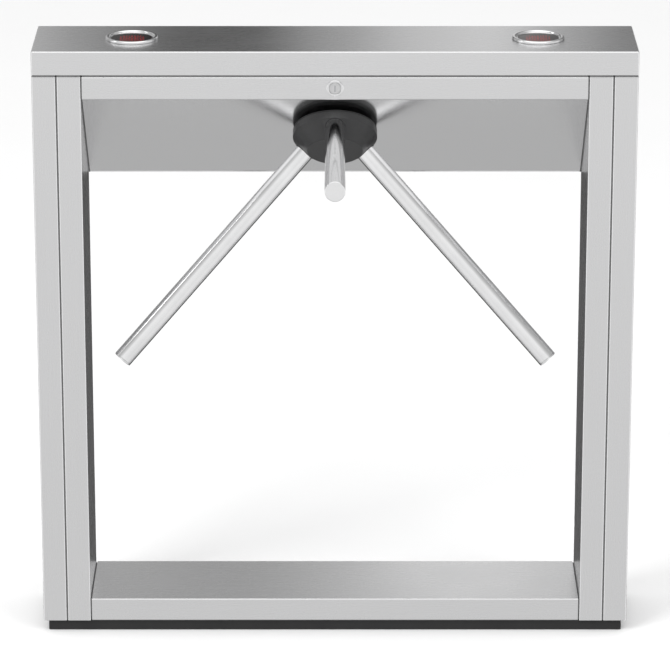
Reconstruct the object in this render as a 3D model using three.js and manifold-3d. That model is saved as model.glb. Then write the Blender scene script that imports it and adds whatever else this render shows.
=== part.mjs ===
// Tripod turnstile that counts visitors: a portal cabinet with a sloped mechanism hood,
// a tilted rotor with three arms, a hinged lid with two status displays, and the works inside.
// Millimetres, +Z up. The front is at -Y and visitors pass along Y.
// The origin is the middle of the plinth's underside.

import * as THREE from 'three';
import { mergeVertices } from 'three/addons/utils/BufferGeometryUtils.js';
import Module from 'manifold-3d';

const wasm = await Module();
wasm.setup();

// ---------------------------------------------------------------- driving dimensions

const GAP = 0.3; // clearance between pieces that touch
const SHEET = 1.5; // thickness of the steel panels
const FOLD = 6; // width of the folded edges of a panel
const SEAM = 2; // shadow groove between neighbouring panels

const WIDTH = 1000;
const DEPTH = 180;
const GRID = 40; // the legs, header, sill and lid all follow this grid
const FRONT = -DEPTH / 2;
const BACK = DEPTH / 2;
const EDGE_RADIUS = 2; // rounded upright edges of the panels

const PLINTH_HEIGHT = 20;
const PLINTH_INSET = 8;
const LEG_TOP = 982;
const LID_BOTTOM = 985;
const LID_TOP = LID_BOTTOM + GRID;
const LEG_PANEL_WIDTH = GRID - SEAM / 4;
const PASSAGE_HALF = WIDTH / 2 - 2 * LEG_PANEL_WIDTH - SEAM; // inner face of a leg
const SPAN_HALF = PASSAGE_HALF - SEAM; // half length of what spans between the legs
const RAIL_BOTTOM = LEG_TOP - GRID + 1;
const HOOD_BACK_BOTTOM = 768; // height of the hood where it meets the back

const DISPLAY_X = 338;
const BEZEL_RADIUS = 43.5;
const LENS_RADIUS = 33.7;
const BEZEL_TOP = LID_TOP + 5;

const LOCK_Z = 963;
const LOCK_RADIUS = 14;

const HINGE_X = 300;
const HINGE_Y = 93.8;
const HINGE_Z = 983.5;
const KNUCKLE_RADIUS = 3.5;

const HUB_Y = -17.7;
const HUB_Z = 883.5;
const ROTOR_TILT = THREE.MathUtils.degToRad(46.95); // rotor axis below the horizontal
const ARM_CONE = THREE.MathUtils.degToRad(49.7); // arm axis from the rotor axis
const ARM_RADIUS = 16;
const ARMS_MEET = -11.7; // where the three arm axes meet, along the rotor axis
const ARM_LENGTH = 541; // from that point to the tip
const ARM_ROOT = 56; // where each tube starts inside its socket
const ARM_WALL = 2.5;
const HUB_RADIUS = 70.3;
const HUB_PARTING = 14; // the joint of the hub's two shells, along the rotor axis
const HUB_FACE = 52;
const HUB_BACK = 8.4;

const SHAFT_RADIUS = 10;
const SHAFT_BORE = SHAFT_RADIUS + GAP;

const UP = new THREE.Vector3(0, 0, 1);

// ---------------------------------------------------------------- materials

function finish(color, roughness, metalness) {
  return () => new THREE.MeshStandardMaterial({ color, roughness, metalness });
}

const brushedSteel = finish(0xc9cacb, 0.35, 1);
const polishedSteel = finish(0xe3e4e6, 0.08, 1);
const plainSteel = finish(0x9a9ca0, 0.45, 1);
const zincSteel = finish(0xb6b39c, 0.4, 1);
const brass = finish(0xb59a55, 0.35, 1);
const castAluminium = finish(0xa9abad, 0.5, 1);
const blackPlastic = finish(0x2c2c2d, 0.45, 0);
const blackPaint = finish(0x1f1f20, 0.6, 0);
const darkGlass = finish(0x140b0b, 0.05, 0);
const greenBoard = finish(0x1d5a35, 0.5, 0);
const greyPaint = finish(0x8d9194, 0.55, 0);
const acetal = finish(0xe8e6df, 0.5, 0);

// ---------------------------------------------------------------- geometry helpers

// Joins shared vertices and drops the flat triangles that a lathe leaves on its axis.
function weld(geometry) {
  const bare = geometry.clone();
  bare.deleteAttribute('normal');
  bare.deleteAttribute('uv');
  const merged = mergeVertices(bare, 1e-4);
  const corners = merged.index.array;
  const kept = [];
  for (let i = 0; i < corners.length; i += 3) {
    const [a, b, c] = [corners[i], corners[i + 1], corners[i + 2]];
    if (a !== b && b !== c && c !== a) kept.push(a, b, c);
  }
  merged.setIndex(kept);
  return merged;
}

function solid(geometry) {
  const welded = weld(geometry);
  const vertProperties = new Float32Array(welded.attributes.position.array);
  const triVerts = new Uint32Array(welded.index.array);
  return new wasm.Manifold(new wasm.Mesh({ numProp: 3, vertProperties, triVerts }));
}

function geometryOf(manifold) {
  const mesh = manifold.getMesh();
  const geometry = new THREE.BufferGeometry();
  geometry.setAttribute('position', new THREE.BufferAttribute(mesh.vertProperties, 3));
  geometry.setIndex(new THREE.BufferAttribute(mesh.triVerts, 1));
  geometry.computeVertexNormals();
  return geometry;
}

function joined(...pieces) {
  return geometryOf(pieces.map(solid).reduce((whole, piece) => whole.add(piece)));
}

function cut(body, ...tools) {
  return geometryOf(tools.map(solid).reduce((rest, tool) => rest.subtract(tool), solid(body)));
}

function common(first, second) {
  return geometryOf(solid(first).intersect(solid(second)));
}

// A box between two corners.
function block(x0, x1, y0, y1, z0, z1) {
  const box = new THREE.BoxGeometry(x1 - x0, y1 - y0, z1 - z0);
  return box.translate((x0 + x1) / 2, (y0 + y1) / 2, (z0 + z1) / 2);
}

// A solid of revolution about +Z. Each profile point is [radius, height], going round so that
// the material is on the left.
function turned(profile, segments = 32) {
  const points = profile.map(([radius, height]) => new THREE.Vector2(radius, height));
  return weld(new THREE.LatheGeometry(points, segments).rotateX(Math.PI / 2));
}

// A ring or tube about +Z.
function ring(outer, inner, z0, z1, segments = 32) {
  return turned([[inner, z0], [outer, z0], [outer, z1], [inner, z1], [inner, z0]], segments);
}

// A round bar along +Z.
function bar(radius, z0, z1, segments = 24) {
  const cylinder = new THREE.CylinderGeometry(radius, radius, z1 - z0, segments);
  return cylinder.rotateX(Math.PI / 2).translate(0, 0, (z0 + z1) / 2);
}

function barAlongX(radius, x0, x1, y, z, segments = 24) {
  return bar(radius, x0, x1, segments).rotateY(Math.PI / 2).translate(0, y, z);
}

function barAlongY(radius, y0, y1, x, z, segments = 24) {
  return bar(radius, -y1, -y0, segments).rotateX(Math.PI / 2).translate(x, 0, z);
}

function outline(points) {
  return new THREE.Shape(points.map(([x, y]) => new THREE.Vector2(x, y)));
}

function withHole(shape, x, y, radius) {
  const hole = new THREE.Path();
  hole.absarc(x, y, radius, 0, 2 * Math.PI, true);
  shape.holes.push(hole);
  return shape;
}

// Extrudes a shape drawn in X and Y from z0 to z1.
function extruded(shape, z0, z1, curveSegments = 12) {
  const settings = { depth: z1 - z0, bevelEnabled: false, curveSegments };
  return new THREE.ExtrudeGeometry(shape, settings).translate(0, 0, z0);
}

// Extrudes a shape drawn in Y and Z along X.
function alongX(shape, x0, x1, curveSegments = 3) {
  const turn = new THREE.Matrix4().makeBasis(
    new THREE.Vector3(0, 1, 0), UP, new THREE.Vector3(1, 0, 0));
  return extruded(shape, x0, x1, curveSegments).applyMatrix4(turn);
}

// Extrudes a shape drawn in X and Z along Y.
function alongY(shape, y0, y1, curveSegments = 12) {
  const turn = new THREE.Matrix4().makeBasis(
    new THREE.Vector3(1, 0, 0), UP, new THREE.Vector3(0, -1, 0));
  return extruded(shape, -y1, -y0, curveSegments).applyMatrix4(turn);
}

function roundedRectangle(width, height, radius, x = 0, y = 0) {
  const right = x + width / 2 - radius;
  const left = x - width / 2 + radius;
  const top = y + height / 2 - radius;
  const bottom = y - height / 2 + radius;
  const shape = new THREE.Shape();
  shape.absarc(right, bottom, radius, -Math.PI / 2, 0);
  shape.absarc(right, top, radius, 0, Math.PI / 2);
  shape.absarc(left, top, radius, Math.PI / 2, Math.PI);
  shape.absarc(left, bottom, radius, Math.PI, 1.5 * Math.PI);
  return shape;
}

// The mirror image in X, with its faces turned back outwards.
function mirrored(geometry) {
  const image = weld(geometry).scale(-1, 1, 1);
  const corners = image.index.array;
  for (let i = 0; i < corners.length; i += 3) {
    [corners[i], corners[i + 1]] = [corners[i + 1], corners[i]];
  }
  return image;
}

function polar(radius, angle) {
  return [radius * Math.cos(angle), radius * Math.sin(angle)];
}

// ---------------------------------------------------------------- scene graph

const turnstile = new THREE.Group();

function add(parent, name, geometry, material) {
  const mesh = new THREE.Mesh(geometry, material());
  mesh.name = name;
  parent.add(mesh);
}

const SIDES = [['left', -1], ['right', 1]];

// ---------------------------------------------------------------- cabinet

function addPlinth() {
  const plinth = roundedRectangle(WIDTH - 2 * PLINTH_INSET, DEPTH - 2 * PLINTH_INSET, EDGE_RADIUS);
  add(turnstile, 'plinth', extruded(plinth, 0, PLINTH_HEIGHT, 3), blackPaint);
}

// The sill is a flat steel tube, open at its ends, that also carries cables between the legs.
function addBaseSill() {
  const bottom = PLINTH_HEIGHT + GAP;
  const section = roundedRectangle(DEPTH, GRID, EDGE_RADIUS, 0, bottom + GRID / 2);
  const wall = 2;
  const outside = alongX(section, -SPAN_HALF, SPAN_HALF);
  const inside = block(-WIDTH, WIDTH, FRONT + wall, BACK - wall, bottom + wall, bottom + GRID - wall);
  add(turnstile, 'base_sill', cut(outside, inside), brushedSteel);
}

// Each leg is two upright sheet steel boxes, open at the top under the lid.
function addLegs() {
  const panelX = {
    outer: WIDTH / 2 - LEG_PANEL_WIDTH / 2,
    inner: PASSAGE_HALF + LEG_PANEL_WIDTH / 2,
  };
  for (const [side, sign] of SIDES) {
    for (const [place, x] of Object.entries(panelX)) {
      const section = roundedRectangle(LEG_PANEL_WIDTH, DEPTH, EDGE_RADIUS);
      const outside = extruded(section, PLINTH_HEIGHT + GAP, LEG_TOP, 3);
      const halfInside = LEG_PANEL_WIDTH / 2 - SHEET;
      const inside = block(-halfInside, halfInside, FRONT + SHEET, BACK - SHEET, 0, WIDTH);
      const panel = cut(outside, inside).translate(sign * x, 0, 0);
      add(turnstile, `leg_${place}_${side}`, panel, brushedSteel);
    }
  }
}

const HOOD_FRONT = FRONT + FOLD + 0.5; // just behind the rail's lower fold
const HOOD_SLOPE = (RAIL_BOTTOM - HOOD_BACK_BOTTOM) / (BACK - HOOD_FRONT);

// Height of the hood's outer face at depth y.
function hoodZ(y) {
  return RAIL_BOTTOM - (y - HOOD_FRONT) * HOOD_SLOPE;
}

function addHeaderRail() {
  const section = outline([
    [FRONT, RAIL_BOTTOM],
    [FRONT + FOLD, RAIL_BOTTOM],
    [FRONT + FOLD, RAIL_BOTTOM + SHEET],
    [FRONT + SHEET, RAIL_BOTTOM + SHEET],
    [FRONT + SHEET, LEG_TOP - SHEET],
    [FRONT + FOLD, LEG_TOP - SHEET],
    [FRONT + FOLD, LEG_TOP],
    [FRONT, LEG_TOP],
  ]);
  const lockHole = barAlongY(LOCK_RADIUS - 0.7, FRONT - 1, FRONT + SHEET + 1, 0, LOCK_Z);
  add(turnstile, 'header_front_rail', cut(alongX(section, -SPAN_HALF, SPAN_HALF), lockHole),
    brushedSteel);
}

// One bent sheet: a short flange behind the rail, the long slope, and a flange inside the back.
function addHood() {
  const slopeRise = SHEET * Math.hypot(1, HOOD_SLOPE);
  const front = HOOD_FRONT;
  const back = BACK - SHEET - 0.5;
  const frontFlangeTop = RAIL_BOTTOM + 5;
  const backFlangeTop = HOOD_BACK_BOTTOM + 22;
  const section = outline([
    [front, frontFlangeTop],
    [front, hoodZ(front)],
    [back, hoodZ(back)],
    [back, backFlangeTop],
    [back - SHEET, backFlangeTop],
    [back - SHEET, hoodZ(back - SHEET) + slopeRise],
    [front + SHEET, hoodZ(front + SHEET) + slopeRise],
    [front + SHEET, frontFlangeTop],
  ]);
  const shaftHole = bar(28, -40, 40, 40).applyMatrix4(rotor.matrix);
  add(turnstile, 'hood_panel', cut(alongX(section, -SPAN_HALF, SPAN_HALF), shaftHole), brushedSteel);
}

function addBackCover() {
  const bottom = HOOD_BACK_BOTTOM + 2.5; // just above the hood's rear corner
  const section = outline([
    [BACK, bottom],
    [BACK, LEG_TOP],
    [BACK - FOLD, LEG_TOP],
    [BACK - FOLD, LEG_TOP - SHEET],
    [BACK - SHEET, LEG_TOP - SHEET],
    [BACK - SHEET, bottom],
  ]);
  add(turnstile, 'back_cover', alongX(section, -SPAN_HALF, SPAN_HALF), brushedSteel);
}

// ---------------------------------------------------------------- lid and displays

function addLid() {
  const shell = extruded(roundedRectangle(WIDTH, DEPTH, EDGE_RADIUS), LID_BOTTOM, LID_TOP, 3);
  const halfWidth = WIDTH / 2 - SHEET;
  const inside = block(-halfWidth, halfWidth, FRONT + SHEET, BACK - SHEET, 0, LID_TOP - SHEET);
  const holes = SIDES.map(([, sign]) => {
    return bar(38, LID_BOTTOM, LID_TOP + 1, 32).translate(sign * DISPLAY_X, 0, 0);
  });
  add(turnstile, 'lid', cut(shell, inside, ...holes), brushedSteel);
}

// A chrome ring with a neck through the lid, a dark lens in it, and the LED board below.
function addDisplays() {
  const bore = LENS_RADIUS + GAP;
  const neck = 37.7;
  const flangeBottom = LID_TOP + GAP;
  const boardBottom = LID_TOP - 9;
  const bezel = [
    [bore, LID_TOP - 13],
    [neck, LID_TOP - 13],
    [neck, flangeBottom],
    [BEZEL_RADIUS, flangeBottom],
    [BEZEL_RADIUS, BEZEL_TOP - 2],
    [BEZEL_RADIUS - 0.6, BEZEL_TOP - 0.6],
    [BEZEL_RADIUS - 2, BEZEL_TOP],
    [bore + 2, BEZEL_TOP],
    [bore, BEZEL_TOP - 2],
    [bore, LID_TOP - 13],
  ];
  for (const [side, sign] of SIDES) {
    const place = (geometry) => geometry.translate(sign * DISPLAY_X, 0, 0);
    add(turnstile, `display_bezel_${side}`, place(turned(bezel, 32)), polishedSteel);
    add(turnstile, `display_lens_${side}`,
      place(bar(LENS_RADIUS, LID_TOP - 0.5, LID_TOP + 2.5, 32)), darkGlass);
    add(turnstile, `led_board_${side}`,
      place(bar(LENS_RADIUS, boardBottom, boardBottom + 1.6, 32)), greenBoard);
  }
}

// Two butt hinges behind the back: the fixed leaf holds the outer knuckles.
function addLidHinges() {
  const leafHalf = 30;
  const middleHalf = 12;
  const leafY = [HINGE_Y - KNUCKLE_RADIUS, HINGE_Y - KNUCKLE_RADIUS + SHEET];
  const fixedTop = HINGE_Z - KNUCKLE_RADIUS - 0.5;
  const lidBottom = HINGE_Z + KNUCKLE_RADIUS + 0.5;
  const knuckle = (x0, x1) => barAlongX(KNUCKLE_RADIUS, x0, x1, HINGE_Y, HINGE_Z, 16);
  for (const [side, sign] of SIDES) {
    const x = sign * HINGE_X;
    const pinHole = barAlongX(1.8, x - 2 * leafHalf, x + 2 * leafHalf, HINGE_Y, HINGE_Z, 12);
    const ends = [
      [x - leafHalf, x - middleHalf],
      [x + middleHalf, x + leafHalf],
    ];
    const fixed = joined(
      block(x - leafHalf, x + leafHalf, ...leafY, fixedTop - 24, fixedTop),
      ...ends.map(([x0, x1]) => block(x0, x1, ...leafY, fixedTop - 1, HINGE_Z)),
      ...ends.map(([x0, x1]) => knuckle(x0, x1)),
    );
    const inner = [x - middleHalf + 0.4, x + middleHalf - 0.4];
    const moving = joined(
      block(x - leafHalf, x + leafHalf, ...leafY, lidBottom, lidBottom + 24),
      block(...inner, ...leafY, HINGE_Z, lidBottom + 1),
      knuckle(...inner),
    );
    add(turnstile, `hinge_fixed_leaf_${side}`, cut(fixed, pinHole), plainSteel);
    add(turnstile, `hinge_lid_leaf_${side}`, cut(moving, pinHole), plainSteel);
    add(turnstile, `hinge_pin_${side}`,
      barAlongX(1.5, x - leafHalf - 0.5, x + leafHalf + 0.5, HINGE_Y, HINGE_Z, 12), plainSteel);
  }
}

// ---------------------------------------------------------------- lock

const CAM_BACK = -64.7;
const CAM_FRONT = CAM_BACK - 3;

function addLock() {
  const plugRadius = 9.8;
  const bore = plugRadius + GAP;
  const barrel = LOCK_RADIUS - 1;
  const faceY = FRONT - 2.2;
  const barrelBack = -70;
  // Turned about the lock's own axis, whose height runs into the cabinet.
  const intoCabinet = (geometry) => geometry.rotateX(-Math.PI / 2).translate(0, 0, LOCK_Z);
  const housing = turned([
    [bore, faceY],
    [LOCK_RADIUS - 0.8, faceY],
    [LOCK_RADIUS, faceY + 0.8],
    [LOCK_RADIUS, FRONT - GAP],
    [barrel, FRONT - GAP],
    [barrel, barrelBack],
    [bore, barrelBack],
    [bore, faceY],
  ], 28);
  const plug = turned([
    [0, faceY + 0.6],
    [plugRadius, faceY + 0.6],
    [plugRadius, CAM_FRONT - GAP],
    [5, CAM_FRONT - GAP],
    [5, CAM_BACK + 4],
    [0, CAM_BACK + 4],
  ], 28);
  const keySlot = block(-1.2, 1.2, faceY - 1, faceY + 7, LOCK_Z - 5.5, LOCK_Z + 5.5);
  add(turnstile, 'lock_housing', intoCabinet(housing), polishedSteel);
  add(turnstile, 'lock_plug', cut(intoCabinet(plug), keySlot), polishedSteel);

  const hexagon = outline([0, 1, 2, 3, 4, 5].map((corner) => {
    const [x, z] = polar(17.3, Math.PI / 6 + corner * Math.PI / 3);
    return [x, LOCK_Z + z];
  }));
  withHole(hexagon, 0, LOCK_Z, barrel + GAP);
  add(turnstile, 'lock_nut', alongY(hexagon, FRONT + SHEET + GAP, FRONT + 5.5, 16), brass);

  const camTop = LOCK_Z + 38;
  const camTongue = new THREE.Shape();
  camTongue.absarc(0, LOCK_Z, 8, Math.PI, 2 * Math.PI);
  camTongue.lineTo(8, camTop);
  camTongue.lineTo(-8, camTop);
  withHole(camTongue, 0, LOCK_Z, 5 + GAP);
  add(turnstile, 'lock_cam', alongY(camTongue, CAM_FRONT, CAM_BACK), zincSteel);
}

// A strap that hangs from the lid, with a foot that the turned cam holds down.
function addStriker() {
  const strapFront = -78;
  const footTop = LOCK_Z - 11;
  const section = outline([
    [strapFront, LID_TOP - SHEET - GAP],
    [strapFront, footTop - 2],
    [CAM_BACK + 4, footTop - 2],
    [CAM_BACK + 4, footTop],
    [strapFront + 2, footTop],
    [strapFront + 2, LID_TOP - SHEET - GAP - 2],
    [strapFront + 18, LID_TOP - SHEET - GAP - 2],
    [strapFront + 18, LID_TOP - SHEET - GAP],
  ]);
  add(turnstile, 'lid_striker', alongX(section, 22, 38), zincSteel);
}

// ---------------------------------------------------------------- rotor

// The rotor's own frame: its +Z is the rotor axis, out of the hood towards the front,
// and its +Y runs up and forward.
const rotor = new THREE.Group();
rotor.position.set(0, HUB_Y, HUB_Z);
rotor.rotation.x = Math.PI / 2 + ROTOR_TILT;
rotor.updateMatrix();
turnstile.add(rotor);

const ARMS = [['front', 90], ['left', 210], ['right', 330]];

function armMatrix(degrees) {
  const frame = new THREE.Object3D();
  frame.position.z = ARMS_MEET;
  frame.rotation.set(0, ARM_CONE, THREE.MathUtils.degToRad(degrees), 'ZYX');
  frame.updateMatrix();
  return frame.matrix;
}

// The hub's face is a cone with a low collar round each arm.
function addHubFront() {
  const rim = 26.5;
  const face = HUB_FACE;
  const faceRadius = 46;
  const collarRise = 1.4;
  const cone = turned([
    [0, HUB_PARTING],
    [HUB_RADIUS - 0.6, HUB_PARTING],
    [HUB_RADIUS, HUB_PARTING + 0.8],
    [HUB_RADIUS, rim - 1],
    [HUB_RADIUS - 0.8, rim + 0.9],
    [faceRadius + 0.7, face - 1],
    [faceRadius - 1, face],
    [0, face],
  ], 40);
  const collarLimit = turned([
    [0, HUB_PARTING],
    [HUB_RADIUS, HUB_PARTING],
    [HUB_RADIUS, rim + collarRise],
    [faceRadius + collarRise, face],
    [0, face],
  ], 40);
  const cavity = turned([[0, 0], [66, 0], [66, rim - 2], [43, face - 5], [0, face - 5]], 24);
  let shell = cone;
  for (const [, degrees] of ARMS) {
    const collar = bar(ARM_RADIUS + 2, 40, 110, 20).applyMatrix4(armMatrix(degrees));
    shell = joined(shell, common(collar, collarLimit));
  }
  const armHoles = ARMS.map(([, degrees]) => {
    return bar(ARM_RADIUS + GAP, 30, 140, 20).applyMatrix4(armMatrix(degrees));
  });
  add(rotor, 'hub_front', cut(shell, cavity, ...armHoles), blackPlastic);
}

// A shallow dish behind the face, with a step at its rim that leaves a groove at the joint.
function addHubRear() {
  const shell = turned([
    [24, HUB_BACK],
    [60, HUB_BACK],
    [65.5, HUB_BACK + 0.7],
    [68.8, HUB_BACK + 2.2],
    [HUB_RADIUS - 0.3, HUB_PARTING - 2],
    [HUB_RADIUS - 1.4, HUB_PARTING - 1.2],
    [HUB_RADIUS - 1.4, HUB_PARTING - GAP],
    [66.3, HUB_PARTING - GAP],
    [65, HUB_BACK + 3],
    [24, HUB_BACK + 3],
    [24, HUB_BACK],
  ], 40);
  add(rotor, 'hub_rear', shell, blackPlastic);
}

// A cast spider: a boss on the shaft and one socket for each arm.
function addArmCarrier() {
  const socketEnd = 68;
  const back = HUB_BACK + 3 + 2 * GAP;
  const boss = bar(26, back, 36, 28);
  const slab = bar(64, back, HUB_FACE - 6, 24);
  const sockets = ARMS.map(([, degrees]) => {
    const socket = bar(ARM_RADIUS + 3, 38, socketEnd, 20).applyMatrix4(armMatrix(degrees));
    return common(socket, slab);
  });
  const armBores = ARMS.map(([, degrees]) => {
    return bar(ARM_RADIUS + GAP, ARM_ROOT - GAP, 2 * socketEnd, 20).applyMatrix4(armMatrix(degrees));
  });
  const shaftBore = bar(SHAFT_BORE, 0, 28 + GAP, 24);
  const carrier = cut(joined(boss, ...sockets), shaftBore, ...armBores);
  add(rotor, 'arm_carrier', carrier, castAluminium);
}

function addArms() {
  const capThickness = 3;
  const inner = ARM_RADIUS - ARM_WALL;
  const tubeEnd = ARM_LENGTH - capThickness - GAP;
  const cap = turned([
    [0, tubeEnd - 10],
    [inner - GAP, tubeEnd - 10],
    [inner - GAP, tubeEnd + GAP],
    [ARM_RADIUS, tubeEnd + GAP],
    [ARM_RADIUS, ARM_LENGTH - 0.8],
    [ARM_RADIUS - 0.8, ARM_LENGTH],
    [0, ARM_LENGTH],
  ], 28);
  for (const [name, degrees] of ARMS) {
    const matrix = armMatrix(degrees);
    const tube = ring(ARM_RADIUS, inner, ARM_ROOT, tubeEnd, 28);
    add(rotor, `arm_${name}`, tube.applyMatrix4(matrix), polishedSteel);
    add(rotor, `arm_cap_${name}`, cap.clone().applyMatrix4(matrix), polishedSteel);
  }
}

// ---------------------------------------------------------------- mechanism behind the hood

// Heights along the rotor axis; behind the hood they are negative.
const PLATE_FRONT = -8;
const PLATE_BACK = -13;
const ON_PLATE = PLATE_BACK - GAP;
const DISC_FRONT = -50;
const DISC_BACK = -56;
const GEAR_FRONT = -60;
const GEAR_BACK = -66;
const ENCODER_FRONT = -73;
const SHAFT_END = -80;

const PLATE_HALF = 130;
const DISC_RADIUS = 46;
const NOTCHES = 12;
const GEAR_MODULE = 1.875;
const GEAR_TEETH = 48;
const PINION_TEETH = 16;
const GEAR_DISTANCE = GEAR_MODULE * (GEAR_TEETH + PINION_TEETH) / 2;
const PAWL_X = 62;
const PAWL_Y = -46;
const PLUNGER_Y = 10;
const PLUNGER_Z = (DISC_FRONT + DISC_BACK) / 2;

function addShaft() {
  const shaft = turned([
    [0, SHAFT_END],
    [SHAFT_RADIUS - 1, SHAFT_END],
    [SHAFT_RADIUS, SHAFT_END + 1],
    [SHAFT_RADIUS, 27],
    [SHAFT_RADIUS - 1, 28],
    [0, 28],
  ], 32);
  add(rotor, 'main_shaft', shaft, plainSteel);
}

function addBearings() {
  const bore = 21.3;
  const housing = turned([
    [bore, -46],
    [26, -46],
    [26, -19],
    [38, -19],
    [38, ON_PLATE],
    [26, ON_PLATE],
    [26, HUB_BACK - 1.4],
    [bore, HUB_BACK - 1.4],
    [bore, -46],
  ], 32);
  add(rotor, 'bearing_housing', housing, castAluminium);
  for (const [name, z0] of [['front', -11], ['rear', -46]]) {
    add(rotor, `bearing_${name}`, ring(bore - GAP, SHAFT_BORE, z0, z0 + 12, 32), plainSteel);
  }
}

function addMechanismPlate() {
  const plate = outline([
    [-PLATE_HALF, -120], [PLATE_HALF, -120], [PLATE_HALF, 40],
    [PLATE_HALF - 30, 56], [30 - PLATE_HALF, 56], [-PLATE_HALF, 40],
  ]);
  withHole(plate, 0, 0, 26.5);
  add(rotor, 'mechanism_plate', extruded(plate, PLATE_BACK, PLATE_FRONT, 20), zincSteel);

  // Each bracket is an upright plate that follows the slope of the hood from rail to back cover.
  const clear = 4;
  const front = FRONT + FOLD + SHEET + clear;
  const back = BACK - SHEET - FOLD - clear;
  const bracket = outline([
    [front, hoodZ(front) + clear],
    [back, hoodZ(back) + clear],
    [back, 880],
    [-10, 970],
    [front, 970],
  ]);
  for (const [side, sign] of SIDES) {
    const inner = sign * (PLATE_HALF + GAP);
    const outer = inner + sign * 3;
    add(turnstile, `mechanism_bracket_${side}`,
      alongX(bracket, Math.min(inner, outer), Math.max(inner, outer)), zincSteel);
  }
}

// With a notch every 30 degrees the pawls can hold the rotor at rest and stop it turning back.
function addLockDisc() {
  const notchAngle = 2 * Math.PI / NOTCHES;
  const rimHalf = 5.2 / DISC_RADIUS;
  const rootRadius = DISC_RADIUS - 7;
  const rootHalf = 3.6 / rootRadius;
  const points = [];
  for (let notch = 0; notch < NOTCHES; notch += 1) {
    const angle = notch * notchAngle;
    points.push(polar(DISC_RADIUS, angle - rimHalf));
    points.push(polar(rootRadius, angle - rootHalf));
    points.push(polar(rootRadius, angle + rootHalf));
    points.push(polar(DISC_RADIUS, angle + rimHalf));
    points.push(polar(DISC_RADIUS, angle + notchAngle / 3));
    points.push(polar(DISC_RADIUS, angle + notchAngle * 2 / 3));
  }
  const disc = withHole(outline(points), 0, 0, SHAFT_BORE);
  add(rotor, 'lock_disc', extruded(disc, DISC_BACK, DISC_FRONT), plainSteel);
}

// A spur gear outline: straight-flanked teeth, thinned so that a pair runs with backlash.
function gearOutline(teeth, firstTooth) {
  const pitchRadius = GEAR_MODULE * teeth / 2;
  const tip = pitchRadius + 0.9 * GEAR_MODULE;
  const root = pitchRadius - 1.2 * GEAR_MODULE;
  const step = 2 * Math.PI / teeth;
  const points = [];
  for (let tooth = 0; tooth < teeth; tooth += 1) {
    const angle = firstTooth + tooth * step;
    points.push(polar(root, angle - 0.32 * step));
    points.push(polar(tip, angle - 0.1 * step));
    points.push(polar(tip, angle + 0.1 * step));
    points.push(polar(root, angle + 0.32 * step));
  }
  return outline(points);
}

function addDamper() {
  const gear = withHole(gearOutline(GEAR_TEETH, -Math.PI / 2), 0, 0, SHAFT_BORE);
  add(rotor, 'damper_gear', extruded(gear, GEAR_BACK, GEAR_FRONT), acetal);

  const below = (geometry) => geometry.translate(0, -GEAR_DISTANCE, 0);
  const teeth = gearOutline(PINION_TEETH, Math.PI / 2 + Math.PI / PINION_TEETH);
  const pinion = joined(extruded(teeth, GEAR_BACK, GEAR_FRONT), bar(5, GEAR_BACK - 2, -30, 20));
  add(rotor, 'damper_pinion', below(pinion), brass);

  const body = cut(
    turned([[0, -47], [17.5, -47], [19, -45.5], [19, -18], [21.5, -18], [21.5, ON_PLATE], [0, ON_PLATE]], 28),
    bar(5 + GAP, -60, -29, 20),
  );
  add(rotor, 'rotary_damper', below(body), blackPlastic);
}

function addEncoder() {
  const slots = 18;
  const rim = 30;
  const root = 24;
  const step = 2 * Math.PI / slots;
  const points = [];
  for (let slot = 0; slot < slots; slot += 1) {
    const angle = slot * step;
    points.push(polar(root, angle - 0.24 * step));
    points.push(polar(root, angle + 0.24 * step));
    points.push(polar(rim, angle + 0.26 * step));
    points.push(polar(rim, angle + 0.74 * step));
  }
  const disc = withHole(outline(points), 0, 0, SHAFT_BORE);
  add(rotor, 'encoder_disc', extruded(disc, ENCODER_FRONT - 1.2, ENCODER_FRONT), blackPlastic);

  // A post on the plate with a fork whose two tines reach over the disc's edge.
  const sensor = joined(
    block(50, 58, -5, 5, -79, ON_PLATE),
    block(25, 51, -5, 5, -71.5, -68.5),
    block(25, 51, -5, 5, -79, -75.7),
  );
  add(rotor, 'encoder_sensor', sensor.rotateZ(THREE.MathUtils.degToRad(128)), blackPlastic);
}

// Each pawl stands beside the lock disc and swings its nose into a notch.
function addPawls() {
  const noseY = 2.2 - PAWL_Y; // a little high, so that the swung nose is level with the notch
  const lever = new THREE.Shape();
  lever.absarc(0, 0, 9, Math.PI * 0.75, Math.PI * 2.25);
  lever.lineTo(5, 10);
  lever.lineTo(5, noseY - 3.5);
  lever.lineTo(15, noseY - 1.6);
  lever.lineTo(15, noseY + 1.6);
  lever.lineTo(5, noseY + 3.5);
  lever.lineTo(5, noseY + 16);
  lever.lineTo(-5, noseY + 16);
  lever.lineTo(-5, 10);
  withHole(lever, 0, 0, 5 + GAP);
  const leftPawl = extruded(lever, DISC_BACK + 0.5, DISC_FRONT - 0.5, 16);
  for (const [side, sign] of SIDES) {
    const at = (geometry) => geometry.translate(sign * PAWL_X, PAWL_Y, 0);
    add(rotor, `pawl_${side}`, at(sign > 0 ? mirrored(leftPawl) : leftPawl.clone()), plainSteel);

    const pin = turned([
      [0, DISC_BACK - 2],
      [5, DISC_BACK - 2],
      [5, DISC_FRONT - 0.2],
      [8, DISC_FRONT - 0.2],
      [8, ON_PLATE],
      [0, ON_PLATE],
    ], 24);
    add(rotor, `pawl_pin_${side}`, at(pin), zincSteel);
  }
}

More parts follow.
